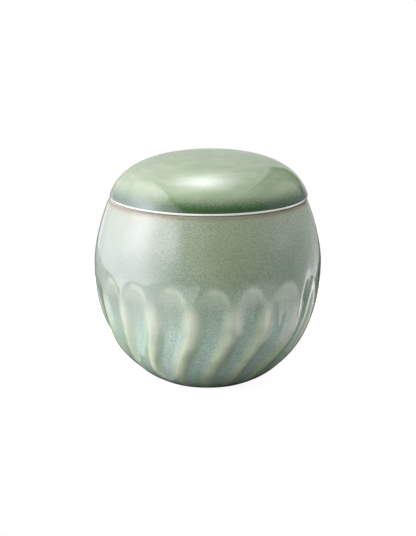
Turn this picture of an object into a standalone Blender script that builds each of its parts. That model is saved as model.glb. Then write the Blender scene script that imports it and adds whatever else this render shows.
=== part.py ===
"""A round porcelain canister with a lift-off lid.

The jar is a nearly spherical pot on a small ring foot, with swirled flutes scooped into its lower half.
The lid is a low dome whose collar drops into the mouth. Both are turned shapes, built ring by ring.
Units are metres, +Z is up and the origin is the centre of the surface that the jar stands on.
"""

import math

import bmesh
import bpy

MM = 0.001

# Jar, outside
BELLY_RADIUS = 60.0 * MM
BELLY_LEVEL = 65.2 * MM
FOOT_RADIUS = 22.1 * MM
SHOULDER_HEIGHT = 32.7 * MM
SHOULDER_INSET = 7.8 * MM
RIM_ROUNDING = 1.2 * MM
UNDERSIDE_FULLNESS = 2.24
SHOULDER_FULLNESS = 1.60

# Jar, inside and underneath
WALL = 4.5 * MM
RIM_WALL = 4.6 * MM
MOUTH_ROUNDING = 0.8 * MM
FLOOR_THICKNESS = 4.5 * MM
BOWL_FULLNESS = 2.4
FOOT_WIDTH = 4.0 * MM
FOOT_RECESS = 2.2 * MM
FOOT_ROUNDING = 0.6 * MM

# Flutes, scooped out of the lower half of the jar
FLUTE_COUNT = 18
FLUTE_DEPTH = 2.4 * MM
RIDGE_LIFT = 0.5 * MM
FLUTE_TOP_DROP = 2.4 * MM
ARCH_HEIGHT = 13.2 * MM
FLUTE_RUN_IN = 24.0 * MM
TOP_CUT_SHARE = 0.35
SWIRL_HEIGHT = 40.8 * MM
FLUTE_FADE_HEIGHT = 24.0 * MM
FLUTE_NARROWING = 0.8
RIDGE_ANGLE = math.radians(2.0)
SWIRL_ANGLE = math.radians(14.3)
RIDGE_SHARPNESS = 2.1
ARRIS_SOFTNESS_SHARE = 0.16

# Lid
LID_HEIGHT = 23.6 * MM
LID_OVERHANG = 0.4 * MM
LID_WALL = 4.0 * MM
LID_EDGE_ROUNDING = 1.6 * MM
DOME_DROP = 10.1 * MM
DOME_FULLNESS = 2.61
COLLAR_DEPTH = 7.0 * MM
COLLAR_WALL = 3.4 * MM
COLLAR_ROUNDING = 0.8 * MM
SEAT_ROUNDING = 0.5 * MM
HOLLOW_ROUNDING = 4.0 * MM
COLLAR_CLEARANCE = 0.9 * MM
SEAT_GAP = 0.3 * MM

# How finely the rings are cut
SIDES_PER_FLUTE = 8
LID_SIDES = 60
UNDERSIDE_STEPS = 13
ARCH_STEPS = 7
SHOULDER_STEPS = 7
NECK_STEPS = 4
BOWL_STEPS = 7
DOME_STEPS = 9
EDGE_STEPS = 3
SMALL_EDGE_STEPS = 2
RING_CROWDING = 1.6

# Finishes
JAR_COLOUR = (0.29, 0.36, 0.27, 1.0)
LID_COLOUR = (0.28, 0.37, 0.24, 1.0)
GLAZE_ROUGHNESS = 0.12
SHARP_ANGLE = math.radians(40.0)

# Sizes that follow
RIM_RADIUS = BELLY_RADIUS - SHOULDER_INSET
RIM_LEVEL = BELLY_LEVEL + SHOULDER_HEIGHT
MOUTH_RADIUS = RIM_RADIUS - RIM_WALL
FLOOR_LEVEL = FOOT_RECESS + FLOOR_THICKNESS
FLUTE_TOP = BELLY_LEVEL - FLUTE_TOP_DROP
ARCH_FOOT = FLUTE_TOP - ARCH_HEIGHT
SEAT_LEVEL = RIM_LEVEL + SEAT_GAP
COLLAR_RADIUS = MOUTH_RADIUS - COLLAR_CLEARANCE


class Arc:
    """A superellipse quarter in the (radius, level) plane: widest at its centre level, closing at its tip."""

    def __init__(self, radius, centre, reach, fullness):
        self.radius = radius
        self.centre = centre
        self.reach = reach
        self.fullness = fullness

    @classmethod
    def through(cls, radius, centre, end_radius, end_level, fullness):
        """The arc that is `radius` wide at `centre` and `end_radius` wide at `end_level`."""
        share = (1 - (end_radius / radius) ** fullness) ** (1 / fullness)
        return cls(radius, centre, (end_level - centre) / share, fullness)

    @classmethod
    def passing(cls, centre, reach, end_radius, end_level, fullness):
        """The arc that reaches its tip `reach` from `centre` and is `end_radius` wide at `end_level`."""
        share = (1 - ((end_level - centre) / reach) ** fullness) ** (1 / fullness)
        return cls(end_radius / share, centre, reach, fullness)

    def width(self, level):
        away = min(abs((level - self.centre) / self.reach), 1)
        return self.radius * (1 - away ** self.fullness) ** (1 / self.fullness)

    def height(self, radius):
        out = min(radius / self.radius, 1)
        return self.centre + self.reach * (1 - out ** self.fullness) ** (1 / self.fullness)

    def normal(self, level):
        """The outward unit normal (radial, upward) where the arc crosses `level`."""
        away = abs((level - self.centre) / self.reach)
        out = self.width(level) / self.radius
        radial = out ** (self.fullness - 1) / self.radius
        upward = math.copysign(away ** (self.fullness - 1) / self.reach, level - self.centre)
        length = math.hypot(radial, upward)
        return radial / length, upward / length


UNDERSIDE = Arc.through(BELLY_RADIUS, BELLY_LEVEL, FOOT_RADIUS, 0, UNDERSIDE_FULLNESS)
SHOULDER = Arc.through(BELLY_RADIUS, BELLY_LEVEL, RIM_RADIUS, RIM_LEVEL, SHOULDER_FULLNESS)
BOWL = Arc(BELLY_RADIUS - WALL, BELLY_LEVEL, FLOOR_LEVEL - BELLY_LEVEL, BOWL_FULLNESS)
NECK = Arc.through(BELLY_RADIUS - WALL, BELLY_LEVEL, MOUTH_RADIUS, RIM_LEVEL, SHOULDER_FULLNESS)
DOME = Arc.passing(SEAT_LEVEL - DOME_DROP, LID_HEIGHT + DOME_DROP, RIM_RADIUS + LID_OVERHANG,
                   SEAT_LEVEL, DOME_FULLNESS)
HOLLOW = Arc(DOME.radius - LID_WALL, DOME.centre, DOME.reach - LID_WALL, DOME_FULLNESS)


def even(start, end, steps, crowding=1.0):
    """Values from start to end, both included, crowded towards the start where crowding is over 1."""
    return [start + (end - start) * (step / steps) ** crowding for step in range(steps + 1)]


def smooth_step(value):
    value = min(max(value, 0), 1)
    return value * value * (3 - 2 * value)


def rounded(before, corner, after, radius, steps=SMALL_EDGE_STEPS):
    """The points of the arc that rounds a corner of an outline, given its two neighbours."""
    arms = []
    for end in (before, after):
        away = (end[0] - corner[0], end[1] - corner[1])
        length = math.hypot(*away)
        arms.append((away[0] / length, away[1] / length))
    half_turn = math.acos(arms[0][0] * arms[1][0] + arms[0][1] * arms[1][1]) / 2
    setback = radius / math.tan(half_turn)
    middle = (arms[0][0] + arms[1][0], arms[0][1] + arms[1][1])
    reach = radius / math.sin(half_turn) / math.hypot(*middle)
    centre = (corner[0] + middle[0] * reach, corner[1] + middle[1] * reach)
    ends = [(corner[0] + arm[0] * setback, corner[1] + arm[1] * setback) for arm in arms]
    angles = [math.atan2(end[1] - centre[1], end[0] - centre[0]) for end in ends]
    turn = math.remainder(angles[1] - angles[0], math.tau)
    points = []
    for angle in even(angles[0], angles[0] + turn, steps):
        points.append((centre[0] + radius * math.cos(angle), centre[1] + radius * math.sin(angle)))
    return points


def flute_push(angle, level):
    """How far the jar's wall moves along its outward normal: out on a ridge, in along a flute.

    Each flute is a round-bottomed scoop with a round arch for a top, shallow there and deeper further
    down. The ridges between flutes run straight down from the arches and then swirl as they close in
    on the foot.
    """
    ridge = RIDGE_ANGLE - SWIRL_ANGLE * smooth_step(1 - level / SWIRL_HEIGHT)
    on_ridge = math.cos(FLUTE_COUNT * (angle - ridge) / 2) ** 2
    up_the_arch = max(level - ARCH_FOOT, 0) / ARCH_HEIGHT
    cut = 1 - on_ridge ** RIDGE_SHARPNESS - up_the_arch ** 2
    cut = (cut + math.hypot(cut, ARRIS_SOFTNESS_SHARE)) / 2
    below_top = smooth_step((FLUTE_TOP - level) / FLUTE_RUN_IN)
    depth = FLUTE_DEPTH * (TOP_CUT_SHARE + (1 - TOP_CUT_SHARE) * below_top)
    narrowing = (UNDERSIDE.width(level) / BELLY_RADIUS) ** FLUTE_NARROWING
    fade = smooth_step(level / FLUTE_FADE_HEIGHT)
    return (RIDGE_LIFT * below_top - depth * cut) * narrowing * fade


def add_ring(bm, radius, level, sides):
    """One level ring of vertices."""
    turns = [math.tau * side / sides for side in range(sides)]
    return [bm.verts.new((radius * math.cos(turn), radius * math.sin(turn), level)) for turn in turns]


def add_fluted_ring(bm, level, sides):
    """One ring of the jar's outside, pushed in and out by the flutes."""
    radius = UNDERSIDE.width(level)
    normal = UNDERSIDE.normal(level)
    ring = []
    for side in range(sides):
        turn = math.tau * side / sides
        push = flute_push(turn, level)
        out = radius + push * normal[0]
        ring.append(bm.verts.new((out * math.cos(turn), out * math.sin(turn), level + push * normal[1])))
    return ring


def bridge(bm, lower, upper):
    """Joins two rings with faces. One may have twice as many vertices as the other."""
    if len(lower) == len(upper):
        for side in range(len(lower)):
            after = (side + 1) % len(lower)
            bm.faces.new((lower[side], lower[after], upper[after], upper[side]))
        return
    fine, coarse = (lower, upper) if len(lower) > len(upper) else (upper, lower)
    for side in range(len(coarse)):
        after = (side + 1) % len(coarse)
        three = [fine[2 * side], fine[2 * side + 1], fine[(2 * side + 2) % len(fine)]]
        faces = [(coarse[side], three[0], three[1]), (coarse[side], three[1], coarse[after]),
                 (three[1], three[2], coarse[after])]
        for face in faces:
            bm.faces.new(face)


def cap(bm, ring, level):
    """Closes a ring with a fan to a point on the axis."""
    tip = bm.verts.new((0, 0, level))
    for side in range(len(ring)):
        bm.faces.new((ring[side], ring[(side + 1) % len(ring)], tip))


def turned(bm, points, sides):
    """Rings for the points of an outline."""
    return [add_ring(bm, radius, level, sides) for radius, level in points]


def loft(bm, rings, first_level, last_level):
    """Joins rings in order and closes both ends on the axis."""
    cap(bm, rings[0], first_level)
    for lower, upper in zip(rings, rings[1:]):
        bridge(bm, lower, upper)
    cap(bm, rings[-1], last_level)


def glaze(name, colour):
    material = bpy.data.materials.new(name)
    material.use_nodes = True
    shader = material.node_tree.nodes["Principled BSDF"]
    shader.inputs["Base Color"].default_value = colour
    shader.inputs["Roughness"].default_value = GLAZE_ROUGHNESS
    shader.inputs["Metallic"].default_value = 0
    return material


def add_object(name, bm, material):
    """Turns a bmesh into a smooth-shaded object whose faces all point outward."""
    bmesh.ops.recalc_face_normals(bm, faces=bm.faces)
    mesh = bpy.data.meshes.new(name)
    bm.to_mesh(mesh)
    bm.free()
    mesh.shade_smooth()
    mesh.set_sharp_from_angle(angle=SHARP_ANGLE)
    mesh.materials.append(material)
    item = bpy.data.objects.new(name, mesh)
    bpy.context.collection.objects.link(item)
    return item


def foot_rings(bm):
    """The recessed base and the flat ring that the jar stands on, from the middle outwards."""
    inner = FOOT_RADIUS - FOOT_WIDTH
    recess_corner = (inner, FOOT_RECESS)
    inner_corner = (inner, 0)
    outer_corner = (FOOT_RADIUS, 0)
    middle = (0, FOOT_RECESS)
    points = rounded(middle, recess_corner, inner_corner, FOOT_ROUNDING)
    points += rounded(recess_corner, inner_corner, outer_corner, FOOT_ROUNDING)
    return turned(bm, points, SIDES_PER_FLUTE * FLUTE_COUNT // 2)


def fluted_rings(bm):
    """The outside from the foot up to just over the arches, cut finely enough for the flutes."""
    levels = even(0, ARCH_FOOT, UNDERSIDE_STEPS, RING_CROWDING)
    levels += even(ARCH_FOOT, BELLY_LEVEL, ARCH_STEPS)[1:]
    return [add_fluted_ring(bm, level, SIDES_PER_FLUTE * FLUTE_COUNT) for level in levels]


def shoulder_rings(bm):
    """The plain outside from the belly to the rim, then the flat seat and the lip of the mouth."""
    outer_corner = (RIM_RADIUS, RIM_LEVEL)
    mouth_corner = (MOUTH_RADIUS, RIM_LEVEL)
    top = RIM_LEVEL - RIM_ROUNDING
    below = RIM_LEVEL - MOUTH_ROUNDING
    levels = even(BELLY_LEVEL, top, SHOULDER_STEPS)[1:-1]
    points = [(SHOULDER.width(level), level) for level in levels]
    points += rounded((SHOULDER.width(top), top), outer_corner, mouth_corner, RIM_ROUNDING, EDGE_STEPS)
    points += rounded(outer_corner, mouth_corner, (NECK.width(below), below), MOUTH_ROUNDING)
    return turned(bm, points, SIDES_PER_FLUTE * FLUTE_COUNT // 2)


def bowl_rings(bm):
    """The inside of the jar from under the lip down to the floor."""
    top = RIM_LEVEL - MOUTH_ROUNDING - MOUTH_ROUNDING
    points = [(NECK.width(level), level) for level in even(top, BELLY_LEVEL, NECK_STEPS)]
    quarter = even(0, math.pi / 2, BOWL_STEPS)[1:-1]
    for turn in quarter:
        level = BELLY_LEVEL + BOWL.reach * math.sin(turn) ** (2 / BOWL_FULLNESS)
        points.append((BOWL.radius * math.cos(turn) ** (2 / BOWL_FULLNESS), level))
    return turned(bm, points, SIDES_PER_FLUTE * FLUTE_COUNT // 2)


def build_jar():
    bm = bmesh.new()
    rings = foot_rings(bm) + fluted_rings(bm) + shoulder_rings(bm) + bowl_rings(bm)
    loft(bm, rings, FOOT_RECESS, FLOOR_LEVEL)
    return add_object("jar", bm, glaze("jar_glaze", JAR_COLOUR))


def dome_points():
    """The lid's outside, from near the top down to its rounded edge."""
    points = []
    for turn in even(math.pi / 2, 0, DOME_STEPS)[1:]:
        level = DOME.centre + DOME.reach * math.sin(turn) ** (2 / DOME_FULLNESS)
        if level > SEAT_LEVEL + 2 * LID_EDGE_ROUNDING:
            points.append((DOME.width(level), level))
    return points


def lid_edge_points():
    """The rounded lower edge, the flat seat, and the collar down to its tip and up its inside."""
    over_edge = SEAT_LEVEL + LID_EDGE_ROUNDING
    inner = COLLAR_RADIUS - COLLAR_WALL
    tip = SEAT_LEVEL - COLLAR_DEPTH
    side = (DOME.width(over_edge), over_edge)
    edge = (DOME.width(SEAT_LEVEL), SEAT_LEVEL)
    root = (COLLAR_RADIUS, SEAT_LEVEL)
    outer_tip = (COLLAR_RADIUS, tip)
    inner_tip = (inner, tip)
    inner_top = (inner, HOLLOW.height(inner))
    points = rounded(side, edge, root, LID_EDGE_ROUNDING, EDGE_STEPS)
    points += rounded(edge, root, outer_tip, SEAT_ROUNDING)
    points += rounded(root, outer_tip, inner_tip, COLLAR_ROUNDING)
    points += rounded(outer_tip, inner_tip, inner_top, COLLAR_ROUNDING)
    return points


def hollow_points():
    """The lid's inside, from the top of the collar's inner wall to near the middle."""
    inner = COLLAR_RADIUS - COLLAR_WALL
    outline = [(radius, HOLLOW.height(radius)) for radius in even(inner, 0, DOME_STEPS)[:-1]]
    return rounded((inner, SEAT_LEVEL), outline[0], outline[1], HOLLOW_ROUNDING) + outline[1:]


def build_lid():
    bm = bmesh.new()
    rings = turned(bm, dome_points() + lid_edge_points() + hollow_points(), LID_SIDES)
    loft(bm, rings, DOME.height(0), HOLLOW.height(0))
    return add_object("lid", bm, glaze("lid_glaze", LID_COLOUR))


def main():
    for item in list(bpy.data.objects):
        bpy.data.objects.remove(item, do_unlink=True)
    build_jar()
    build_lid()


main()
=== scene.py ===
"""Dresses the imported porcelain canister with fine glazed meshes, a pale stand and studio light.

Units are metres, +Z is up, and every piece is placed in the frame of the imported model.
"""

import math

import bpy
import numpy as np
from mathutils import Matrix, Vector

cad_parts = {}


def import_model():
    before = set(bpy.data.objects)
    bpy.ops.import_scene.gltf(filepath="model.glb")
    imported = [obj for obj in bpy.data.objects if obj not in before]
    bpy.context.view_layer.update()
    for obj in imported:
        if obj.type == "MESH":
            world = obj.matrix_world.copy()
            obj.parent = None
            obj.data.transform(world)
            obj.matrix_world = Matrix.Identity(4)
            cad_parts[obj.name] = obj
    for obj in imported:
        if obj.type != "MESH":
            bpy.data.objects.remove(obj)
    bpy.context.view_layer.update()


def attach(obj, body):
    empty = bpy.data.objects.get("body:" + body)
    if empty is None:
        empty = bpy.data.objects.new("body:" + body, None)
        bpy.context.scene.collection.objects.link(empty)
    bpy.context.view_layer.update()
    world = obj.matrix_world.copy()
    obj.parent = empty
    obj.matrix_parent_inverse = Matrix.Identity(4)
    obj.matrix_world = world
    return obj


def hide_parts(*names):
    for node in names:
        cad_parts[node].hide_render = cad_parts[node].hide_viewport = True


MM = 0.001

# Jar, as packed
BELLY_RADIUS = 60.0 * MM
BELLY_LEVEL = 65.2 * MM
FOOT_RADIUS = 22.1 * MM
RIM_RADIUS = 52.2 * MM
RIM_LEVEL = 97.9 * MM
MOUTH_RADIUS = 47.6 * MM
FLOOR_LEVEL = 6.7 * MM
RIM_ROUNDING = 1.2 * MM
MOUTH_ROUNDING = 0.8 * MM
FOOT_WIDTH = 4.0 * MM
FOOT_RECESS = 2.2 * MM
FOOT_ROUNDING = 0.6 * MM
WALL = 4.5 * MM
UNDERSIDE_FULLNESS = 2.24
SHOULDER_FULLNESS = 1.60
BOWL_FULLNESS = 2.4

# Flutes
FLUTE_COUNT = 18
FLUTE_DEPTH = 2.0 * MM
RIDGE_LIFT = 0.5 * MM
FLUTE_TOP = 62.8 * MM
FLUTE_RUN_IN = 24.0 * MM
FIRST_CUT = 0.35
ARCH_HEIGHT = 13.2 * MM
SWIRL_HEIGHT = 40.8 * MM
FLUTE_FADE_HEIGHT = 24.0 * MM
FLUTE_NARROWING = 0.8
RIDGE_ANGLE = math.radians(2.0)
SWIRL_ANGLE = math.radians(14.3)
RIDGE_SHARPNESS = 1.8
CUT_SOFTNESS = 0.16

# How far the hand-cut ridges stray from even spacing, in degrees: listed in front, and drawn at the back.
# The middle one of the front ridges is this many places on from the one at RIDGE_ANGLE.
FRONT_RIDGE_PLACE = -5
FRONT_RIDGE_WANDER = (2.2, -1.4, -1.4, 0.1, 1.3, -0.9, 2.6)
BACK_RIDGE_WANDER = 1.5
WANDER_SEED = 4

# Thin glaze: where it starts on the ridges, and the faint line around each arch, stronger on its right side
# as a painted highlight where the light falls, with painted light under each arch top over the shade of the
# cut
CREAM_RISE = 1.0 * MM
CREAM_RUN_IN = 22.0 * MM
ARRIS_DEPTH = 0.32
ARRIS_WIDTH = 0.28
ARRIS_RISE = 1.5
ARRIS_HIGHLIGHT_SIDE = 1.2
# Painted light: a pale wash under each arch top, over the shade of the downward-facing cut
ARCH_FLOOR_DEPTH = 0.4
ARCH_FLOOR_RISE = 2.0
ARCH_FLOOR_LIGHT_SHARE = 0.45

# Lid, as packed, and how the hand-fitted one sits
SEAT_LEVEL = 98.2 * MM
LID_HEIGHT = 23.6 * MM
LID_RADIUS = 52.6 * MM
LID_WALL = 4.0 * MM
LID_EDGE_ROUNDING = 1.6 * MM
DOME_DROP = 10.1 * MM
DOME_FULLNESS = 2.61
COLLAR_RADIUS = 46.7 * MM
COLLAR_DEPTH = 7.0 * MM
COLLAR_WALL = 3.4 * MM
COLLAR_ROUNDING = 0.8 * MM
SEAT_ROUNDING = 0.5 * MM
HOLLOW_ROUNDING = 4.0 * MM
LID_OFFSET = 0.55 * MM
LID_LEAN = 0.4 * MM

# Mesh density: sides of a ring, and steps along each stretch of an outline
SIDES_PER_FLUTE = 28
LID_SIDES = 360
STAND_SIDES = 128
RECESS_STEPS = 6
FOOT_STEPS = 5
UNDERSIDE_STEPS = 110
UNDERSIDE_CROWDING = 1.25
SHOULDER_STEPS = 40
RIM_STEPS = 4
NECK_STEPS = 16
BOWL_STEPS = 34
DOME_STEPS = 90
SEAT_STEPS = 5
HOLLOW_STEPS = 40
HOLLOW_STEPS_ROUNDED = 6

# Mesh density: steps around each rounding
FOOT_ARC = 5
RIM_ARC = 8
MOUTH_ARC = 6
LID_EDGE_ARC = 12
SEAT_ARC = 5
COLLAR_ARC = 6
HOLLOW_ARC = 8

# Gaps between the end of a stretch and the corner beside it, which leave room for its rounding
RECESS_GAP = 1.5 * MM
FOOT_INNER_GAP = 1.0 * MM
FOOT_OUTER_GAP = 0.3 * MM
UNDERSIDE_GAP = 0.2 * MM
RIM_OUTER_GAP = 1.3 * MM
RIM_INNER_GAP = 1.0 * MM
NECK_GAP = 0.8 * MM
DOME_GAP = 0.3 * MM
SEAT_OUTER_GAP = 0.5 * MM
SEAT_INNER_GAP = 1.0 * MM

# Glaze colours of the jar, with a painted shade and a painted highlight among them
UPPER_GLAZE = (0.302, 0.364, 0.291)
MIDDLE_GLAZE = (0.260, 0.332, 0.262)
THIN_GLAZE = (0.313, 0.350, 0.262)
# Painted shade: dark brown on the jar just under the lid's edge
UNDER_LID_SHADE = (0.211, 0.200, 0.139)
OLIVE_PATCH_COLOUR = (0.264, 0.315, 0.209)
ARCH_GLAZE = (0.305, 0.380, 0.305)
POOLED_GLAZE = (0.370, 0.490, 0.394)
BLUE_GLAZE = (0.490, 0.625, 0.590)
# Cream of the thin glaze on the ridges, also the colour of the painted highlight and light at the arches
CREST_GLAZE_AND_HIGHLIGHT = (0.670, 0.730, 0.575)
CREST_GREEN = (0.675, 0.770, 0.560)

# Glaze colours of the lid, with a painted light on the -X side of its pool
LID_GLAZE = (0.286, 0.373, 0.244)
LID_TAN = (0.340, 0.406, 0.280)
LID_POOL = (0.036, 0.087, 0.027)
LID_POOL_TEAL = (0.048, 0.101, 0.058)
# Painted light: the pool band paler on the -X side, where the light falls
LID_POOL_LIT = (0.094, 0.155, 0.124)
BREAK_WHITE = (0.870, 0.880, 0.840)

# Colours of both
INSIDE_GLAZE = (0.488, 0.577, 0.455)
BARE_PORCELAIN = (0.780, 0.750, 0.680)
BARE_SHADE = (0.702, 0.675, 0.612)
WHITE = (1.0, 1.0, 1.0)
# Painted sheen: lifts red and blue, so the glaze looks greyer and lighter towards -X
SHEEN_TINT = (1.06, 1.00, 1.09)

# Textures: the size of their blotches, and how much finer detail they hold
GRAIN = {"size": 0.6 * MM, "roughness": 0.6}
CLOUD = {"size": 9.0 * MM, "detail": 3.0, "roughness": 0.6}
BARE_GRAIN = {"size": 1.2 * MM}
RIPPLE = {"size": 5.0 * MM, "detail": 1.0}
PITS = {"size": 0.8 * MM}
JAR_WANDER = {"size": 14.0 * MM}
BLUE_SPECKS = {"size": 0.75 * MM, "roughness": 0.6}
WORN_PATCHES = {"size": 9.0 * MM}
LID_WANDER = {"size": 10.0 * MM}
LID_FRINGE = {"size": 0.9 * MM}
LID_STREAKS = {"size": 3.2 * MM, "detail": 3.0}
POOL_SPECKS = {"size": 1.5 * MM, "detail": 3.0}

# How far the levels of the glaze wander
JAR_WANDER_HEIGHT = 8.0 * MM
# Share of the wander for the painted shade under the lid
UNDER_LID_SHADE_WANDER = 0.2
LID_WANDER_HEIGHT = 1.6 * MM
LID_FRINGE_HEIGHT = 4.0 * MM

# Levels on the jar between which each look comes in, from none to full
UPPER_LEVELS = (60 * MM, 88 * MM)
THIN_LEVELS = (89 * MM, 97 * MM)
# Painted shade under the lid's edge
UNDER_LID_SHADE_LEVELS = (95.4 * MM, 97.4 * MM)
ARCH_TOP_LEVELS = (66 * MM, 57 * MM)
ARCH_FOOT_LEVELS = (38 * MM, 50 * MM)
POOLED_LEVELS = (56 * MM, 32 * MM)
DEEP_LEVELS = (50 * MM, 28 * MM)
BLUE_FOOT_LEVELS = (4 * MM, 20 * MM)
CREST_LEVELS = (66 * MM, 48 * MM)
CREST_GREEN_LEVELS = (34 * MM, 22 * MM)
# Painted sheen: the levels on the jar over which it comes in
SHEEN_LEVELS = (24 * MM, 56 * MM)

# Heights above the lid's seat between which each look comes in
POOL_HEIGHTS = (10.5 * MM, 2.5 * MM)
BREAK_TOP_HEIGHTS = (1.7 * MM, 1.2 * MM)
BREAK_FOOT_HEIGHTS = (-0.1 * MM, 0.3 * MM)

# Places along X between which each look comes in
# Painted sheen: where it comes in towards -X
SHEEN_SIDE = (-8 * MM, -34 * MM)
# Painted sheen: towards -X the grain, blue specks and ridge cream are weakened, as a sheen washes them out
OUT_OF_SHEEN_SIDE = (-34 * MM, -14 * MM)
POOL_TEAL_SIDES = (18 * MM, 34 * MM)
# Painted light on the pool band towards -X
POOL_LIT_SIDE = (-18 * MM, -36 * MM)

# The olive patch
OLIVE_PLACE = (0.010, -0.055, 0.080)
OLIVE_SPREAD = (0.020, 0.030, 0.024)
OLIVE_EDGE = (1.6, 0.2)

# Values of a texture or a share between which each look comes in
GRAIN_EDGE = (0.38, 0.62)
PITS_EDGE = (0.3, 0.8)
POOLED_EDGE = (0.0, 0.9)
DEEP_EDGE = (0.45, 0.95)
BLUE_SPECKS_EDGE = (0.45, 0.58)
WORN_PATCHES_EDGE = (0.36, 0.56)
CREST_EDGE = (0.20, 1.10)
LID_STREAKS_EDGE = (0.36, 0.66)
POOL_SPECKS_EDGE = (0.35, 0.70)

# Strengths: pairs are for the -X side, where they are weakened as painted sheen, and for the rest, or for
# the least and the most
CLOUD_STRENGTH = 0.18
JAR_GRAIN_STRENGTHS = (0.11, 0.33)
LID_GRAIN_STRENGTH = 0.10
BLUE_FOOT_STRENGTHS = (0.4, 1.0)
BLUE_STRENGTHS = (0.5, 1.0)
WORN_STRENGTHS = (0.58, 0.78)
CREST_STRENGTHS = (0.8, 1.0)
# Strength of the arch line with its painted highlight and painted light
ARRIS_AND_HIGHLIGHT_STRENGTH = 0.38
# Strength of the painted shade under the lid
UNDER_LID_SHADE_STRENGTH = 0.7
STREAK_STRENGTH = 0.7
STREAK_STRETCH = 0.2
POOL_SPECK_STRENGTH = 0.5

# Surface
GLAZE_ROUGHNESS = (0.04, 0.075)
BARE_ROUGHNESS = 0.55
SUBSURFACE = 0.5
SUBSURFACE_REACH = 1.5 * MM
SUBSURFACE_COLOURS = (1.0, 1.0, 1.0)
RIPPLE_HEIGHT = 0.12
PITS_HEIGHT = 0.006
BUMP_STRENGTH = 0.5
BUMP_DISTANCE = 1.0 * MM

# Stand
STAND_RADIUS = 0.25
STAND_DROP = 0.05 * MM
STAND_COLOUR = (0.50, 0.50, 0.50)
# Painted shade: the stand's darker middle, near the jar and to its right
STAND_PAINTED_SHADE = (0.18, 0.18, 0.18)
# Radii over which the painted shade gives way to the stand's colour
STAND_EDGE = (0.08, 0.24)
# Places along X over which the painted shade gives way towards -X
STAND_LEFT_SIDE = (0.0, -0.06)
STAND_GLOW = 0.93

# Lamps: name, place, aim, width, height, radiance
LAMPS = (
    ("key_left", (-1.0, -0.3, 0.45), (0.0, -0.3, 0.45), 1.6, 1.4, 1.45),
    ("key_round", (-1.0, -0.6, 0.5), (0.0, -0.2, 0.1), 1.6, 1.4, 1.62),
    ("top_left", (-0.35, 0.1, 1.3), (-0.05, 0.0, 0.1), 0.6, 0.6, 3.35),
    ("top_light", (-0.07, 0.27, 1.3), (-0.07, 0.27, 0.0), 0.5, 0.6, 2.05),
    ("fill_right", (1.0, 1.0, 0.3), (0.0, 1.0, 0.3), 1.9, 1.1, 0.90),
)

# Cards: name, the axis that each faces and its place on it, outline, even strength, bells, fade.
# Outlines and bells are in (y, z) on the walls, and in (x, y) overhead and on the table.
# A bell is its peak, centre and spread. A fade is the two Y between which the card comes up from nothing.
# A card with no strength is a dark flag.
CARD_TINT = (1.00, 0.95, 1.03)
CARDS = (
    ("softbox_left", "X", -1.0,
     ((-2.7, -2.2), (2.6, -2.2), (2.6, 1.72), (0.5, 1.75), (-0.25, 1.58), (-0.68, 1.13), (-2.7, 1.1)), 0.9,
     ((2.2, (0.0, 0.1), (0.8, 0.8)),
      (6.0, (-0.26, 0.44), (0.38, 0.32)),
      (3.8, (-1.2, 0.62), (0.6, 0.35)),
      (0.8, (0.7, 1.1), (0.45, 0.35)),
      (4.2, (-0.5, -0.5), (0.6, 0.5)),
      (3.4, (0.1, 1.4), (0.7, 0.35)),
      (0.6, (1.9, -0.35), (0.35, 0.5))), (-2.7, -0.9)),
    ("table_mirrored", "Z", -0.5 * MM,
     ((-0.24, 0.0), (-0.02, -0.02), (-0.015, -0.06), (0.055, -0.055), (0.06, 0.0), (0.1, 0.035), (0.2, 0.1),
      (0.2, 0.7), (-0.25, 0.7), (-0.27, 0.45), (-0.36, 0.38), (-0.36, 0.25), (-0.3, 0.12)), 0.0,
     ((0.5, (-0.28, 0.3), (0.12, 0.25)),), None),
    ("table_front", "Z", -0.6 * MM,
     ((-0.25, -0.3), (-0.035, -0.3), (-0.035, -0.012), (-0.25, -0.012)), 1.7, (), None),
    ("card_right", "X", 1.0,
     ((0.1, -1.3), (2.0, -1.3), (2.0, 0.2), (0.1, 0.2)), 0.3,
     ((1.5, (1.0, -0.45), (0.7, 0.4)),
      (3.6, (0.6, -0.38), (0.12, 0.2))), None),
    ("glow_right", "X", 1.0,
     ((-2.4, -1.6), (0.1, -1.6), (0.1, 0.2), (-2.4, 0.2)), 0.0,
     ((2.6, (-0.3, -0.6), (0.9, 0.32)),), None),
    ("window_right", "X", 1.0,
     ((-0.3, 0.2), (1.3, 0.2), (1.3, 1.0), (-0.3, 1.0)), 0.5, (), None),
    ("flag_right", "X", 1.0,
     ((1.3, 0.2), (3.4, 0.2), (3.4, 1.0), (1.3, 1.0)), 0.0, (), None),
    ("flag_high", "X", 1.0,
     ((-1.0, 1.0), (3.4, 1.0), (3.4, 3.0), (-1.0, 3.0)), 0.0, (), None),
    ("softbox_above", "Z", 1.3,
     ((-0.72, -0.8), (0.72, -0.8), (0.72, 1.15), (-0.72, 1.15)), 1.0,
     ((8.6, (-0.09, 0.22), (0.34, 0.4)),
      (2.6, (-0.08, 0.24), (0.2, 0.25)),
      (1.0, (0.0, 0.7), (0.45, 0.4))), (-0.65, -0.15)),
    ("softbox_behind", "Z", 1.3,
     ((-1.0, 1.15), (0.72, 1.15), (0.72, 2.6), (-1.0, 2.6)), 0.8, (), None),
)

# World: the even fill from below, from the sides and from above, and the room that mirror rays see
FILL_BELOW = 0.85
FILL_LEVEL = 0.81
FILL_ABOVE = 0.56
FILL_LOWER_SLOPES = (-0.35, 0.15)
FILL_UPPER_SLOPES = (0.15, 0.8)
ROOM_FRONT = 0.12
ROOM_BEHIND = 0.60
ROOM_SLOPES = (-0.2, 0.6)

# Camera, from the fitted outline
CAMERA_DISTANCE = 1.2
CAMERA_ELEVATION = math.radians(12.88)
CAMERA_TARGET = (0.00013, 0.0, 0.05984)
CAMERA_LENS = 151.66
CAMERA_SENSOR = 36.0
CAMERA_NEAR = 10.0 * MM


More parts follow.
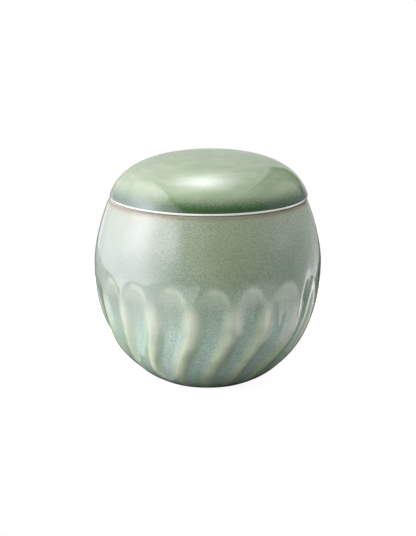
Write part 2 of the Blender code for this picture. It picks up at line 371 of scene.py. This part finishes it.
class Arc:
    """A superellipse quarter in (radius, level): widest at its centre level, closing at its tip."""

    def __init__(self, radius, centre, reach, fullness):
        self.radius = radius
        self.centre = centre
        self.reach = reach
        self.fullness = fullness

    @classmethod
    def through(cls, radius, centre, end_radius, end_level, fullness):
        """The arc of a given widest radius that passes a point."""
        share = (1 - (end_radius / radius) ** fullness) ** (1 / fullness)
        return cls(radius, centre, (end_level - centre) / share, fullness)

    @classmethod
    def passing(cls, centre, reach, end_radius, end_level, fullness):
        """The arc of a given reach that passes a point."""
        share = (1 - ((end_level - centre) / reach) ** fullness) ** (1 / fullness)
        return cls(end_radius / share, centre, reach, fullness)

    def width(self, level):
        away = min(abs((level - self.centre) / self.reach), 1)
        return self.radius * (1 - away ** self.fullness) ** (1 / self.fullness)

    def height(self, radius):
        out = min(radius / self.radius, 1)
        return self.centre + self.reach * (1 - out ** self.fullness) ** (1 / self.fullness)

    def at(self, turn):
        """The point at a quarter-turn angle from the widest place (0) to the tip."""
        power = 2 / self.fullness
        return (self.radius * max(math.cos(turn), 0) ** power,
                self.centre + self.reach * max(math.sin(turn), 0) ** power)

    def normal(self, level):
        away = abs((level - self.centre) / self.reach)
        out = self.width(level) / self.radius
        radial = out ** (self.fullness - 1) / self.radius
        upward = math.copysign(away ** (self.fullness - 1) / self.reach, level - self.centre)
        length = math.hypot(radial, upward)
        return radial / length, upward / length


UNDERSIDE = Arc.through(BELLY_RADIUS, BELLY_LEVEL, FOOT_RADIUS, 0, UNDERSIDE_FULLNESS)
SHOULDER = Arc.through(BELLY_RADIUS, BELLY_LEVEL, RIM_RADIUS, RIM_LEVEL, SHOULDER_FULLNESS)
BOWL = Arc(BELLY_RADIUS - WALL, BELLY_LEVEL, FLOOR_LEVEL - BELLY_LEVEL, BOWL_FULLNESS)
NECK = Arc.through(BELLY_RADIUS - WALL, BELLY_LEVEL, MOUTH_RADIUS, RIM_LEVEL, SHOULDER_FULLNESS)
DOME = Arc.passing(SEAT_LEVEL - DOME_DROP, LID_HEIGHT + DOME_DROP, LID_RADIUS, SEAT_LEVEL, DOME_FULLNESS)
HOLLOW = Arc(DOME.radius - LID_WALL, DOME.centre, DOME.reach - LID_WALL, DOME_FULLNESS)


def even(start, end, steps):
    """The ends of so many equal steps from start to end, both included."""
    return [start + (end - start) * step / steps for step in range(steps + 1)]


def smooth_step(value):
    value = np.clip(value, 0, 1)
    return value * value * (3 - 2 * value)


def rounded(before, corner, after, radius, steps):
    """The points of the arc that rounds a corner of an outline, given its two neighbours."""
    arms = []
    for end in (before, after):
        away = (end[0] - corner[0], end[1] - corner[1])
        length = math.hypot(*away)
        arms.append((away[0] / length, away[1] / length))
    half_turn = math.acos(arms[0][0] * arms[1][0] + arms[0][1] * arms[1][1]) / 2
    setback = radius / math.tan(half_turn)
    middle = (arms[0][0] + arms[1][0], arms[0][1] + arms[1][1])
    reach = radius / math.sin(half_turn) / math.hypot(*middle)
    centre = (corner[0] + middle[0] * reach, corner[1] + middle[1] * reach)
    ends = [(corner[0] + arm[0] * setback, corner[1] + arm[1] * setback) for arm in arms]
    angles = [math.atan2(end[1] - centre[1], end[0] - centre[0]) for end in ends]
    turn = math.remainder(angles[1] - angles[0], math.tau)
    return [(centre[0] + radius * math.cos(angle), centre[1] + radius * math.sin(angle))
            for angle in even(angles[0], angles[0] + turn, steps)]


def ridge_wander(angle):
    """How far, in radians, each hand-cut ridge strays from even spacing."""
    draws = np.random.RandomState(WANDER_SEED).uniform(-BACK_RIDGE_WANDER, BACK_RIDGE_WANDER, FLUTE_COUNT)
    first = -(len(FRONT_RIDGE_WANDER) // 2)
    front = {(first + index) % FLUTE_COUNT: value for index, value in enumerate(FRONT_RIDGE_WANDER)}
    values = [front.get(ridge, draws[ridge]) for ridge in range(FLUTE_COUNT)]
    spacing = math.tau / FLUTE_COUNT
    front_ridge = RIDGE_ANGLE + FRONT_RIDGE_PLACE * spacing
    place = ((angle - front_ridge) / spacing) % FLUTE_COUNT
    return np.radians(np.interp(place, range(FLUTE_COUNT + 1), values + values[:1]))


def flute_field(angle, level):
    """For one ring: the push along the outward normal, and the shares of crest, hollow, and the arch line
    with its painted highlight and painted light.
    """
    ridge = RIDGE_ANGLE - SWIRL_ANGLE * smooth_step(1 - level / SWIRL_HEIGHT) + ridge_wander(angle)
    turn = FLUTE_COUNT * (angle - ridge)
    on_ridge = np.cos(turn / 2) ** 2
    up_the_arch = max(level - (FLUTE_TOP - ARCH_HEIGHT), 0) / ARCH_HEIGHT
    cut = 1 - on_ridge ** RIDGE_SHARPNESS - up_the_arch ** 2
    line = np.exp(-((cut - ARRIS_DEPTH) / ARRIS_WIDTH) ** 2)
    # Painted highlight: the arch line is kept mostly to each arch's right side, which faces the light
    line = line * smooth_step(ARRIS_HIGHLIGHT_SIDE - np.sin(turn)) * smooth_step(ARRIS_RISE * up_the_arch)
    # Painted light: a pale wash just under each arch top, where the cut faces down into shade
    arch_floor_light = smooth_step(cut / ARCH_FLOOR_DEPTH) * smooth_step(ARCH_FLOOR_RISE * up_the_arch)
    arris = np.maximum(line, ARCH_FLOOR_LIGHT_SHARE * arch_floor_light)
    below_top = smooth_step((FLUTE_TOP - level) / FLUTE_RUN_IN)
    hollow = (cut + np.hypot(cut, CUT_SOFTNESS)) / 2 * (FIRST_CUT + (1 - FIRST_CUT) * below_top)
    narrowing = (UNDERSIDE.width(level) / BELLY_RADIUS) ** FLUTE_NARROWING
    fade = smooth_step(level / FLUTE_FADE_HEIGHT)
    push = (RIDGE_LIFT * below_top - FLUTE_DEPTH * hollow) * narrowing * fade
    crest = on_ridge * smooth_step((FLUTE_TOP + CREAM_RISE - level) / CREAM_RUN_IN)
    return push, crest, np.clip(hollow, 0, 1), arris


def ring(radius, level, turns):
    return np.column_stack((radius * np.cos(turns), radius * np.sin(turns), np.full(len(turns), level)))


def placed(name, data):
    """A new object in the scene."""
    item = bpy.data.objects.new(name, data)
    bpy.context.scene.collection.objects.link(item)
    return item


class Turned:
    """A turned piece in the making: rings of points, and a number at each point under each name."""

    def __init__(self, sides, names):
        self.turns = np.arange(sides) * math.tau / sides
        self.rings = []
        self.numbers = {name: [] for name in names}

    def add(self, points, **given):
        self.rings.append(points)
        for name, values in self.numbers.items():
            values.append(np.full(len(self.turns), given.get(name, 0.0)))

    def follow(self, outline, **given):
        """Adds a plain ring for each point of an outline."""
        for radius, level in outline:
            self.add(ring(radius, level, self.turns), **given)

    def piece(self, name, first_level, last_level):
        """The closed mesh of the rings, which ends in a point on the axis at both levels."""
        sides = len(self.turns)
        points = [(0, 0, first_level)] + [tuple(point) for one in self.rings for point in one]
        points.append((0, 0, last_level))
        last = len(points) - 1
        last_ring = last - sides
        faces = []
        for start in range(1, last_ring, sides):
            for side in range(sides):
                after = (side + 1) % sides
                faces.append((start + side, start + after, start + sides + after, start + sides + side))
        for side in range(sides):
            after = (side + 1) % sides
            faces.append((0, 1 + after, 1 + side))
            faces.append((last, last_ring + side, last_ring + after))
        mesh = bpy.data.meshes.new(name)
        mesh.from_pydata(points, [], faces)
        mesh.shade_smooth()
        for key, values in self.numbers.items():
            flat = np.concatenate([[values[0].mean()], np.concatenate(values), [values[-1].mean()]])
            mesh.attributes.new(key, "FLOAT", "POINT").data.foreach_set("value", flat.astype(np.float32))
        return placed(name, mesh)


def foot_outline():
    """The recess under the jar, and the bare ring that it stands on."""
    inner = FOOT_RADIUS - FOOT_WIDTH
    recess_corner = (inner, FOOT_RECESS)
    inner_corner = (inner, 0)
    outer_corner = (FOOT_RADIUS, 0)
    recess = [(radius, FOOT_RECESS) for radius in even(RECESS_GAP, inner - RECESS_GAP, RECESS_STEPS)]
    recess += rounded((0, FOOT_RECESS), recess_corner, inner_corner, FOOT_ROUNDING, FOOT_ARC)
    bare = rounded(recess_corner, inner_corner, outer_corner, FOOT_ROUNDING, FOOT_ARC)
    flat = even(inner + FOOT_INNER_GAP, FOOT_RADIUS - FOOT_OUTER_GAP, FOOT_STEPS)
    bare += [(radius, 0) for radius in flat]
    return recess, bare


def jar_mesh():
    jar = Turned(FLUTE_COUNT * SIDES_PER_FLUTE, ("crest", "hollow", "arris", "raw", "within"))
    recess, bare_foot = foot_outline()
    jar.follow(recess)
    jar.follow(bare_foot, raw=1.0)

    for share in even(0, 1, UNDERSIDE_STEPS):
        level = UNDERSIDE_GAP + (BELLY_LEVEL - UNDERSIDE_GAP) * share ** UNDERSIDE_CROWDING
        push, crest, hollow, arris = flute_field(jar.turns, level)
        radial, upward = UNDERSIDE.normal(level)
        points = ring(UNDERSIDE.width(level), level, jar.turns)
        points[:, 0] += push * radial * np.cos(jar.turns)
        points[:, 1] += push * radial * np.sin(jar.turns)
        points[:, 2] += push * upward
        jar.add(points, crest=crest, hollow=hollow, arris=arris)

    top = RIM_LEVEL - RIM_ROUNDING
    below = RIM_LEVEL - MOUTH_ROUNDING
    rim_corner = (RIM_RADIUS, RIM_LEVEL)
    mouth_corner = (MOUTH_RADIUS, RIM_LEVEL)
    shoulder = [(SHOULDER.width(level), level) for level in even(BELLY_LEVEL, top, SHOULDER_STEPS)[1:-1]]
    rim_arc = rounded((SHOULDER.width(top), top), rim_corner, mouth_corner, RIM_ROUNDING, RIM_ARC)
    jar.follow(shoulder)
    # the bare rim's own edge stands in for the last two points
    jar.follow(rim_arc[:-2])
    bare_rim = even(RIM_RADIUS - RIM_OUTER_GAP, MOUTH_RADIUS + RIM_INNER_GAP, RIM_STEPS)
    jar.follow([(radius, RIM_LEVEL) for radius in bare_rim], raw=1.0)

    neck_end = (NECK.width(below), below)
    jar.follow(rounded(rim_corner, mouth_corner, neck_end, MOUTH_ROUNDING, MOUTH_ARC), within=1.0)
    neck = [(NECK.width(level), level) for level in even(below - NECK_GAP, BELLY_LEVEL, NECK_STEPS)]
    jar.follow(neck, within=1.0)
    jar.follow([BOWL.at(turn) for turn in even(0, math.pi / 2, BOWL_STEPS)[1:-1]], within=1.0)
    return jar.piece("canister_jar", FOOT_RECESS, FLOOR_LEVEL)


def lid_mesh():
    over_edge = SEAT_LEVEL + LID_EDGE_ROUNDING
    inner = COLLAR_RADIUS - COLLAR_WALL
    tip = SEAT_LEVEL - COLLAR_DEPTH
    side = (DOME.width(over_edge), over_edge)
    edge = (DOME.width(SEAT_LEVEL), SEAT_LEVEL)
    root = (COLLAR_RADIUS, SEAT_LEVEL)
    outer_tip = (COLLAR_RADIUS, tip)
    inner_tip = (inner, tip)
    inner_top = (inner, HOLLOW.height(inner))

    dome = [DOME.at(turn) for turn in even(math.pi / 2, 0, DOME_STEPS)[1:]]
    dome = [point for point in dome if point[1] > over_edge + DOME_GAP]
    edge_arc = rounded(side, edge, root, LID_EDGE_ROUNDING, LID_EDGE_ARC)
    seat = even(edge_arc[-1][0] - SEAT_OUTER_GAP, COLLAR_RADIUS + SEAT_INNER_GAP, SEAT_STEPS)
    bare = [(radius, SEAT_LEVEL) for radius in seat]
    bare += rounded(edge, root, outer_tip, SEAT_ROUNDING, SEAT_ARC)
    bare += rounded(root, outer_tip, inner_tip, COLLAR_ROUNDING, COLLAR_ARC)
    bare += rounded(outer_tip, inner_tip, inner_top, COLLAR_ROUNDING, COLLAR_ARC)
    hollow = [(radius, HOLLOW.height(radius)) for radius in even(inner, 0, HOLLOW_STEPS)[:-1]]
    hollow_arc = rounded((inner, SEAT_LEVEL), hollow[0], hollow[1], HOLLOW_ROUNDING, HOLLOW_ARC)
    hollow = hollow_arc + hollow[HOLLOW_STEPS_ROUNDED:]

    lid = Turned(LID_SIDES, ("raw", "within", "above_seat"))
    for outline, raw, within in ((dome + edge_arc, 0.0, 0.0), (bare, 1.0, 0.0), (hollow, 0.0, 1.0)):
        for radius, level in outline:
            points = ring(radius, level, lid.turns)
            lean = smooth_step((level - SEAT_LEVEL) / LID_HEIGHT)
            points[:, 2] += LID_LEAN * lean * points[:, 0] / LID_RADIUS
            points[:, 0] += LID_OFFSET
            lid.add(points, raw=raw, within=within, above_seat=level - SEAT_LEVEL)
    return lid.piece("canister_lid", DOME.height(0), HOLLOW.height(0))


class Nodes:
    """Short calls for making shader nodes and joining them. A value is a number, a tuple or a socket."""

    def __init__(self, tree):
        self.tree = tree
        tree.nodes.clear()

    def add(self, kind, settings=None, **inputs):
        made = self.tree.nodes.new(kind)
        for key, value in (settings or {}).items():
            setattr(made, key, value)
        for key, value in inputs.items():
            self.put(made.inputs[key.replace("_", " ")], value)
        return made

    def put(self, socket, value):
        if isinstance(value, bpy.types.NodeSocket):
            self.tree.links.new(value, socket)
        else:
            socket.default_value = value

    def maths(self, operation, *values):
        made = self.add("ShaderNodeMath", {"operation": operation})
        for socket, value in zip(made.inputs, values):
            self.put(socket, value)
        return made.outputs[0]

    def times(self, first, second):
        return self.maths("MULTIPLY", first, second)

    def plus(self, first, second):
        return self.maths("ADD", first, second)

    def swing(self, value, size):
        """Turns 0 to 1 into a swing about 0, with the size from end to end."""
        return self.times(self.maths("SUBTRACT", value, 0.5), size)

    def share(self, value, low, high):
        """0 at low, 1 at high, smooth between."""
        made = self.add("ShaderNodeMapRange", {"interpolation_type": "SMOOTHSTEP"}, Value=value)
        made.inputs["From Min"].default_value = low
        made.inputs["From Max"].default_value = high
        return made.outputs[0]

    def blend(self, share, first, second):
        """From the first number to the second."""
        made = self.add("ShaderNodeMix", {"data_type": "FLOAT"})
        for socket, value in zip((made.inputs[0], made.inputs[2], made.inputs[3]), (share, first, second)):
            self.put(socket, value)
        return made.outputs[0]

    def mix(self, share, first, second):
        """From the first colour to the second."""
        made = self.add("ShaderNodeMix", {"data_type": "RGBA"})
        colours = (share, rgba(first), rgba(second))
        for socket, value in zip((made.inputs[0], made.inputs[6], made.inputs[7]), colours):
            self.put(socket, value)
        return made.outputs[2]

    def vector(self, operation, *values):
        made = self.add("ShaderNodeVectorMath", {"operation": operation})
        for socket, value in zip(made.inputs, values):
            self.put(socket, value)
        return made.outputs[0]

    def number(self, operation, *values):
        """A vector operation whose result is a number."""
        return self.vector(operation, *values).node.outputs["Value"]

    def scaled(self, vector, factor):
        made = self.add("ShaderNodeVectorMath", {"operation": "SCALE"}, Vector=vector, Scale=factor)
        return made.outputs[0]

    def place(self):
        return self.add("ShaderNodeTexCoord").outputs["Object"]

    def split(self, vector):
        return self.add("ShaderNodeSeparateXYZ", Vector=vector).outputs

    def noise(self, place, size, detail=2.0, roughness=0.5):
        """Noise from 0 to 1 whose blotches are about `size` metres across."""
        made = self.add("ShaderNodeTexNoise", Vector=place, Scale=1 / size)
        made.inputs["Detail"].default_value = detail
        made.inputs["Roughness"].default_value = roughness
        return made.outputs[0]

    def attribute(self, name):
        return self.add("ShaderNodeAttribute", {"attribute_name": name}).outputs["Fac"]

    def show(self, shader, output="ShaderNodeOutputMaterial"):
        """Makes a shader the result of the tree."""
        self.tree.links.new(shader.outputs[0], self.add(output).inputs[0])


def rgba(colour):
    return (*colour, 1.0) if isinstance(colour, tuple) else colour


def new_material(name):
    material = bpy.data.materials.new(name)
    material.use_nodes = True
    return material, Nodes(material.node_tree)


def speckled(nodes, place, colour, strength):
    """Fine light and dark grains in a glaze colour, and a slow drift."""
    grain = nodes.swing(nodes.share(nodes.noise(place, **GRAIN), *GRAIN_EDGE), strength)
    drift = nodes.swing(nodes.noise(place, **CLOUD), CLOUD_STRENGTH)
    return nodes.scaled(colour, nodes.plus(nodes.plus(grain, drift), 1.0))


def painted_sheen(nodes, sideways, colour, strength=1.0):
    """Painted sheen: the glaze colour is made greyer and a little lighter towards -X, the side the light
    comes from.
    """
    there = nodes.times(nodes.share(sideways, *SHEEN_SIDE), strength)
    return nodes.vector("MULTIPLY", colour, nodes.mix(there, WHITE, SHEEN_TINT))


def finish_glaze(nodes, place, colour):
    """A glossy, slightly rippled surface, with bare porcelain where the glaze was wiped off."""
    raw = nodes.attribute("raw")
    colour = nodes.mix(nodes.attribute("within"), colour, INSIDE_GLAZE)
    bare = nodes.mix(nodes.noise(place, **BARE_GRAIN), BARE_SHADE, BARE_PORCELAIN)
    ripple = nodes.noise(place, **RIPPLE)
    pits = nodes.noise(place, **PITS)
    gloss = nodes.blend(nodes.share(pits, *PITS_EDGE), *GLAZE_ROUGHNESS)
    height = nodes.plus(nodes.times(ripple, RIPPLE_HEIGHT), nodes.times(pits, PITS_HEIGHT))
    bump = nodes.add("ShaderNodeBump", Strength=BUMP_STRENGTH, Distance=BUMP_DISTANCE, Height=height)
    nodes.show(nodes.add(
        "ShaderNodeBsdfPrincipled",
        Base_Color=nodes.mix(raw, colour, bare),
        Roughness=nodes.blend(raw, gloss, BARE_ROUGHNESS),
        Normal=bump.outputs[0],
        Subsurface_Weight=SUBSURFACE,
        Subsurface_Scale=SUBSURFACE_REACH,
        Subsurface_Radius=SUBSURFACE_COLOURS))


def body_glaze(nodes, place, level):
    """The glaze of the smooth upper part, a darker olive patch on its front, and the paler band at the
    arches.
    """
    body = nodes.mix(nodes.share(level, *UPPER_LEVELS), MIDDLE_GLAZE, UPPER_GLAZE)
    body = nodes.mix(nodes.share(level, *THIN_LEVELS), body, THIN_GLAZE)
    away = nodes.vector("DIVIDE", nodes.vector("SUBTRACT", place, OLIVE_PLACE), OLIVE_SPREAD)
    body = nodes.mix(nodes.share(nodes.number("LENGTH", away), *OLIVE_EDGE), body, OLIVE_PATCH_COLOUR)
    arches = nodes.times(nodes.share(level, *ARCH_TOP_LEVELS), nodes.share(level, *ARCH_FOOT_LEVELS))
    return nodes.mix(arches, body, ARCH_GLAZE)


def flute_glaze(nodes, place, level, out_of_sheen, body):
    """Glaze pooled in the flutes, with blue specks where it is deepest, and the grain of the whole jar."""
    hollow = nodes.attribute("hollow")
    pooled = nodes.times(nodes.share(hollow, *POOLED_EDGE), nodes.share(level, *POOLED_LEVELS))
    body = nodes.mix(pooled, body, POOLED_GLAZE)
    # The grain is weakened towards -X as painted sheen
    body = speckled(nodes, place, body, nodes.blend(out_of_sheen, *JAR_GRAIN_STRENGTHS))
    deep = nodes.times(nodes.share(hollow, *DEEP_EDGE), nodes.share(level, *DEEP_LEVELS))
    specks = nodes.share(nodes.noise(place, **BLUE_SPECKS), *BLUE_SPECKS_EDGE)
    near_foot = nodes.blend(nodes.share(level, *BLUE_FOOT_LEVELS), *BLUE_FOOT_STRENGTHS)
    blue = nodes.times(nodes.times(deep, specks), near_foot)
    # The blue specks are weakened towards -X as painted sheen
    return nodes.mix(nodes.times(blue, nodes.blend(out_of_sheen, *BLUE_STRENGTHS)), body, BLUE_GLAZE)


def ridge_glaze(nodes, place, level, out_of_sheen, body):
    """Thin glaze on the ridges, worn in patches, and in the faint line around each arch, with a painted
    highlight on its right side and painted light under its top.
    """
    patches = nodes.share(nodes.noise(place, **WORN_PATCHES), *WORN_PATCHES_EDGE)
    crest = nodes.share(nodes.attribute("crest"), *CREST_EDGE)
    worn = nodes.times(crest, nodes.blend(patches, *WORN_STRENGTHS))
    worn = nodes.times(worn, nodes.share(level, *CREST_LEVELS))
    pale = nodes.mix(nodes.share(level, *CREST_GREEN_LEVELS), CREST_GLAZE_AND_HIGHLIGHT, CREST_GREEN)
    # The ridge cream is weakened towards -X as painted sheen
    body = nodes.mix(nodes.times(worn, nodes.blend(out_of_sheen, *CREST_STRENGTHS)), body, pale)
    # The arch line, partly thin glaze and partly painted highlight and painted light, in cream
    return nodes.mix(nodes.times(nodes.attribute("arris"), ARRIS_AND_HIGHLIGHT_STRENGTH), body, CREST_GLAZE_AND_HIGHLIGHT)


def jar_material():
    material, nodes = new_material("jar_celadon")
    place = nodes.place()
    sideways = nodes.split(place)["X"]
    level = nodes.split(place)["Z"]
    wander = nodes.swing(nodes.noise(place, **JAR_WANDER), JAR_WANDER_HEIGHT)
    soft_level = nodes.plus(level, wander)
    soft_shade_level = nodes.plus(level, nodes.times(wander, UNDER_LID_SHADE_WANDER))
    # Painted sheen: 0 towards -X, where grain, blue specks and ridge cream are weakened
    out_of_sheen = nodes.share(sideways, *OUT_OF_SHEEN_SIDE)
    body = body_glaze(nodes, place, soft_level)
    body = flute_glaze(nodes, place, soft_level, out_of_sheen, body)
    body = ridge_glaze(nodes, place, soft_level, out_of_sheen, body)
    # Painted shade: a dark brown band on the jar just under the lid's edge
    body = nodes.mix(nodes.times(nodes.share(soft_shade_level, *UNDER_LID_SHADE_LEVELS), UNDER_LID_SHADE_STRENGTH), body, UNDER_LID_SHADE)
    # Painted sheen on the upper jar, greyer and lighter towards -X
    body = painted_sheen(nodes, sideways, body, nodes.share(soft_level, *SHEEN_LEVELS))
    finish_glaze(nodes, place, body)
    return material


def combed(nodes, place):
    """Streaks from 0 to 1 that run around the lid, as a turning tool leaves them."""
    flat = nodes.number("LENGTH", nodes.vector("MULTIPLY", place, (1.0, 1.0, 0.0)))
    slow = nodes.split(nodes.scaled(place, STREAK_STRETCH))
    around = nodes.add("ShaderNodeCombineXYZ", X=slow["X"], Y=slow["Y"], Z=flat).outputs[0]
    return nodes.share(nodes.noise(around, **LID_STREAKS), *LID_STREAKS_EDGE)


def lid_material():
    material, nodes = new_material("lid_celadon")
    place = nodes.place()
    sideways = nodes.split(place)["X"]
    above = nodes.attribute("above_seat")
    wander = nodes.swing(nodes.noise(place, **LID_WANDER), LID_WANDER_HEIGHT)
    fringe = nodes.swing(nodes.noise(place, **LID_FRINGE), LID_FRINGE_HEIGHT)
    soft_height = nodes.plus(nodes.plus(above, wander), fringe)

    dome = nodes.mix(nodes.times(combed(nodes, place), STREAK_STRENGTH), LID_GLAZE, LID_TAN)
    # Painted sheen on the dome, greyer and lighter towards -X
    dome = painted_sheen(nodes, sideways, speckled(nodes, place, dome, LID_GRAIN_STRENGTH))

    specks = nodes.share(nodes.noise(place, **POOL_SPECKS), *POOL_SPECKS_EDGE)
    at_sides = nodes.share(nodes.maths("ABSOLUTE", sideways), *POOL_TEAL_SIDES)
    teal = nodes.blend(at_sides, nodes.times(specks, POOL_SPECK_STRENGTH), 1.0)
    pool = nodes.mix(teal, LID_POOL, LID_POOL_TEAL)
    # Painted light: the pool band paler towards -X
    pool = nodes.mix(nodes.share(sideways, *POOL_LIT_SIDE), pool, LID_POOL_LIT)

    colour = nodes.mix(nodes.share(soft_height, *POOL_HEIGHTS), dome, pool)
    line = nodes.times(nodes.share(above, *BREAK_TOP_HEIGHTS), nodes.share(above, *BREAK_FOOT_HEIGHTS))
    finish_glaze(nodes, place, nodes.mix(line, colour, BREAK_WHITE))
    return material


def stand():
    """The pale round stand, lifted to white for the camera, less the shadow, and painted darker near the
    jar and to its right as shade. Mirror rays don't see it.
    """
    turns = np.arange(STAND_SIDES) * math.tau / STAND_SIDES
    corners = [tuple(point) for point in ring(STAND_RADIUS, -STAND_DROP, turns)]
    mesh = bpy.data.meshes.new("stand")
    mesh.from_pydata(corners, [], [tuple(range(STAND_SIDES))])
    floor = placed("stand", mesh)
    material, nodes = new_material("stand_white")
    place = nodes.place()
    outward = nodes.share(nodes.number("LENGTH", place), *STAND_EDGE)
    to_the_left = nodes.share(nodes.split(place)["X"], *STAND_LEFT_SIDE)
    # Painted shade: darker near and right of the jar, which also darkens the light thrown back onto the
    # foot
    colour = nodes.mix(nodes.maths("MAXIMUM", outward, to_the_left), STAND_PAINTED_SHADE, STAND_COLOUR)
    matte = nodes.add("ShaderNodeBsdfDiffuse", Color=colour)
    seen = nodes.add("ShaderNodeLightPath").outputs["Is Camera Ray"]
    glow = nodes.add("ShaderNodeEmission", Color=rgba(WHITE), Strength=nodes.times(seen, STAND_GLOW))
    both = nodes.add("ShaderNodeAddShader")
    for socket, shader in zip(both.inputs, (matte, glow)):
        nodes.put(socket, shader.outputs[0])
    nodes.show(both)
    mesh.materials.append(material)
    floor.visible_glossy = False


def lamp(name, location, target, width, height, radiance):
    """A softbox that only lights matte surfaces."""
    data = bpy.data.lights.new(name, "AREA")
    data.shape = "RECTANGLE"
    data.size = width
    data.size_y = height
    data.energy = radiance * math.pi * width * height
    item = placed(name, data)
    item.location = location
    item.rotation_euler = (Vector(target) - Vector(location)).to_track_quat("-Z", "Y").to_euler()
    item.visible_glossy = False


def facing(axis, along, pair):
    """A 3-D tuple from its number along the axis, X or Z, and the pair of numbers across it."""
    return (along, *pair) if axis == "X" else (*pair, along)


def card(name, axis, along, outline, even_strength, bells, fade):
    """A glowing card that only mirror rays see: even, and brighter around the centre of each bell."""
    mesh = bpy.data.meshes.new(name)
    mesh.from_pydata([facing(axis, along, point) for point in outline], [], [tuple(range(len(outline)))])
    item = placed(name, mesh)
    material, nodes = new_material(name)
    place = nodes.place()
    strength = even_strength
    for peak, centre, spread in bells:
        away = nodes.vector("SUBTRACT", place, facing(axis, along, centre))
        relative = nodes.vector("DIVIDE", away, facing(axis, 1.0, spread))
        square = nodes.number("DOT_PRODUCT", relative, relative)
        bell = nodes.maths("EXPONENT", nodes.times(square, -1.0))
        strength = nodes.plus(nodes.times(bell, peak), strength)
    if fade:
        strength = nodes.times(strength, nodes.share(nodes.split(place)["Y"], *fade))
    nodes.show(nodes.add("ShaderNodeEmission", Color=rgba(CARD_TINT), Strength=strength))
    mesh.materials.append(material)
    item.visible_camera = False
    item.visible_diffuse = False
    item.visible_shadow = False


def world():
    """White for the camera, an even fill, and for mirror rays a room, dim in front and brighter behind."""
    made = bpy.data.worlds.new("studio")
    bpy.context.scene.world = made
    made.use_nodes = True
    nodes = Nodes(made.node_tree)
    ray = nodes.add("ShaderNodeLightPath").outputs
    direction = nodes.split(nodes.add("ShaderNodeTexCoord").outputs["Generated"])
    room = nodes.blend(nodes.share(direction["Y"], *ROOM_SLOPES), ROOM_FRONT, ROOM_BEHIND)
    fill = nodes.blend(nodes.share(direction["Z"], *FILL_LOWER_SLOPES), FILL_BELOW, FILL_LEVEL)
    fill = nodes.blend(nodes.share(direction["Z"], *FILL_UPPER_SLOPES), fill, FILL_ABOVE)
    mirror = nodes.maths("MAXIMUM", ray["Is Glossy Ray"], ray["Is Transmission Ray"])
    strength = nodes.blend(ray["Is Camera Ray"], nodes.blend(mirror, fill, room), 1.0)
    background = nodes.add("ShaderNodeBackground", Color=rgba(WHITE), Strength=strength)
    nodes.show(background, output="ShaderNodeOutputWorld")


def camera():
    """At the photograph's viewing angle, looking along +Y and a little down."""
    data = bpy.data.cameras.new("camera")
    data.lens = CAMERA_LENS
    data.sensor_width = CAMERA_SENSOR
    data.clip_start = CAMERA_NEAR
    item = placed("camera", data)
    back = CAMERA_DISTANCE * math.cos(CAMERA_ELEVATION)
    rise = CAMERA_DISTANCE * math.sin(CAMERA_ELEVATION)
    item.location = (CAMERA_TARGET[0], CAMERA_TARGET[1] - back, CAMERA_TARGET[2] + rise)
    item.rotation_euler = (math.pi / 2 - CAMERA_ELEVATION, 0, 0)
    bpy.context.scene.camera = item


def dress(piece, body, material):
    """Puts a piece in the place of its CAD node, which has the name of its body."""
    piece.data.materials.append(material)
    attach(piece, body)
    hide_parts(body)


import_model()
bpy.context.scene.view_settings.view_transform = "Standard"
camera()
dress(jar_mesh(), "jar", jar_material())
dress(lid_mesh(), "lid", lid_material())
stand()
for row in LAMPS:
    lamp(*row)
for row in CARDS:
    card(*row)
world()
